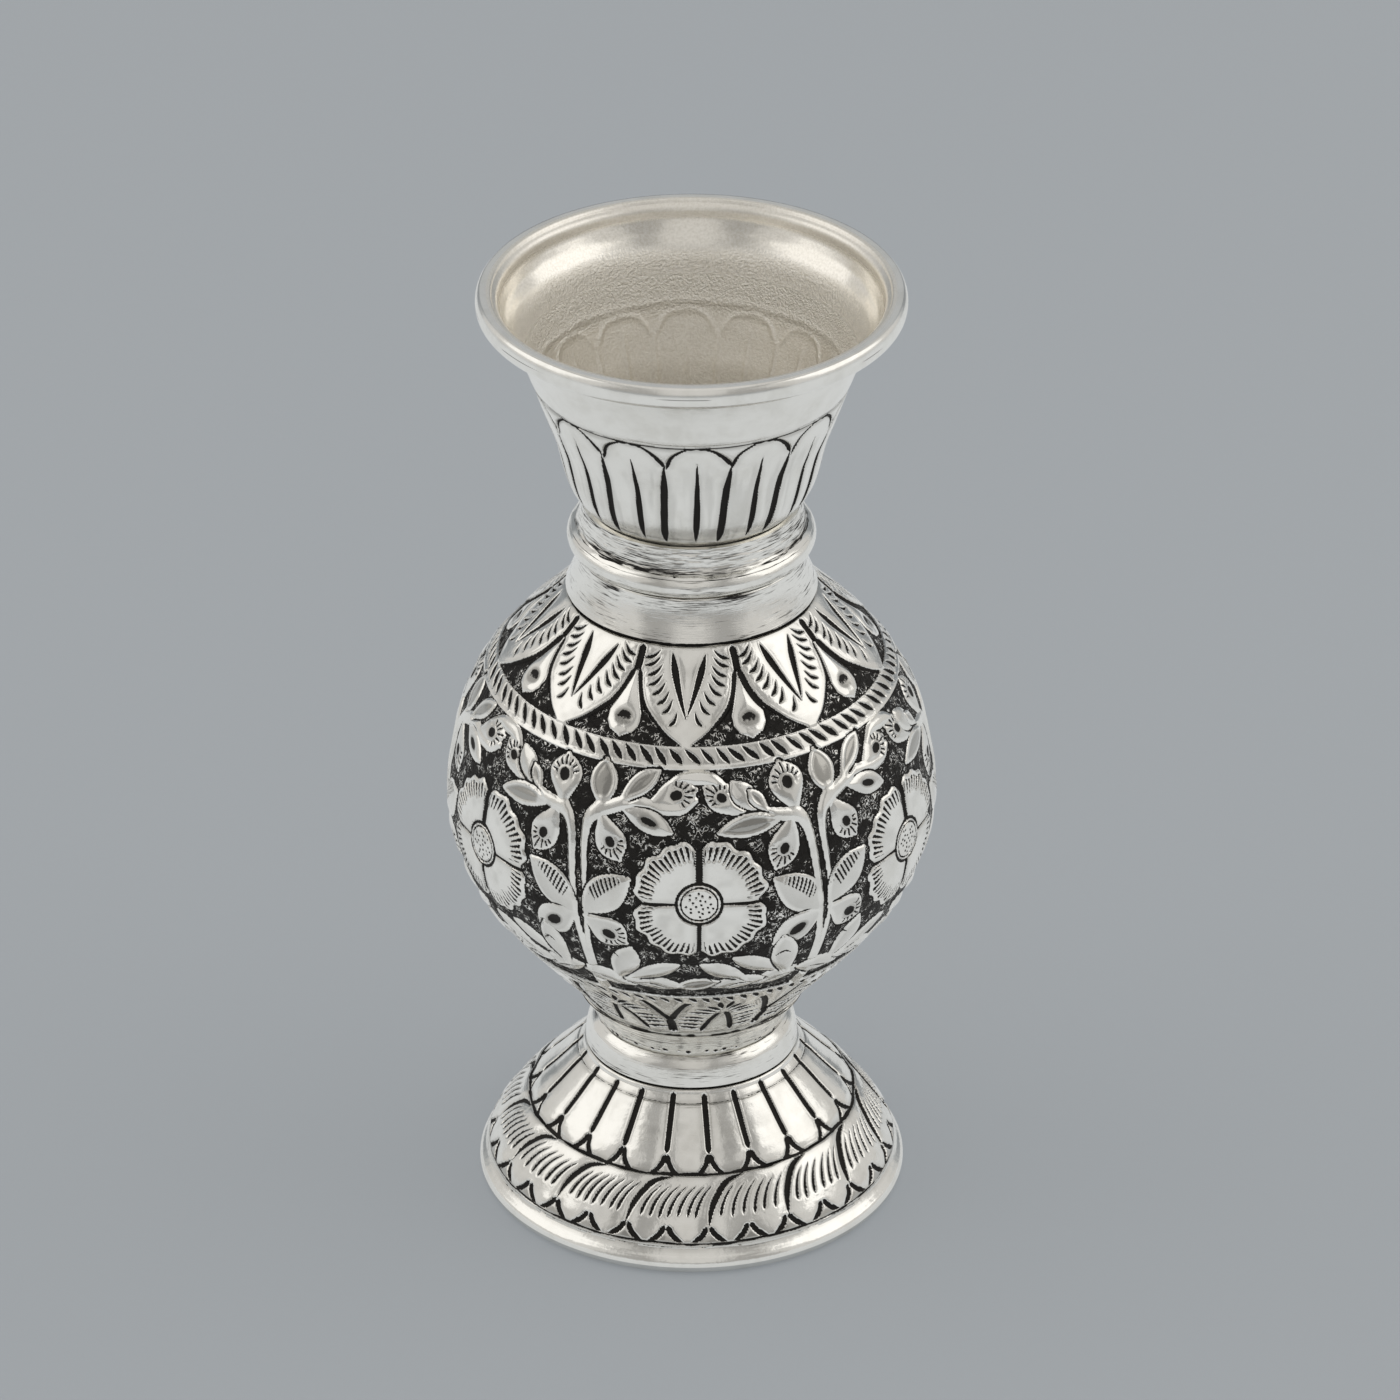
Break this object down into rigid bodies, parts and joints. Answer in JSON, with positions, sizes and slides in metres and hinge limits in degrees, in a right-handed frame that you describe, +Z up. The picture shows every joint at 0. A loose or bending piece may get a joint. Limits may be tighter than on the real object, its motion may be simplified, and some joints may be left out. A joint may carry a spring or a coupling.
{
  "type": "flower vase",
  "caption": "Footed flower vase of chased silver with a trumpet mouth, ringed neck, round belly and domed foot; it stands on its rim and holds cut flowers in water.",
  "frame": {"origin": "centre of the circle that the foot stands on, on the vase's axis", "axes": "+Z up along the vase's axis, -Y towards the side with one flower facing the viewer, +X to the viewer's right"},
  "size_m": [0.0736, 0.0736, 0.15],
  "materials": {
    "funnel_silver": "hand-finished silver, satin outside with blackened tapered grooves, matt and sandy inside",
    "plain_silver": "hand-polished silver with fine turning marks and oxide left at the solder lines",
    "chased_silver": "raised silver, polished on its high parts, over a stippled ground blackened with oxide",
    "foot_silver": "polished silver flutes and leaves with blackened grooves",
    "wire_silver": "drawn silver wire"
  },
  "bodies": {
    "root": {"mouth_funnel": "funnel_silver", "lip_wire": "wire_silver", "neck_socket": "plain_silver", "neck_ring": "plain_silver", "neck_collar": "plain_silver", "body": "chased_silver", "waist_cove": "plain_silver", "waist_ring": "plain_silver", "foot_dome": "foot_silver", "foot_wire": "wire_silver"}
  },
  "joints": []
}
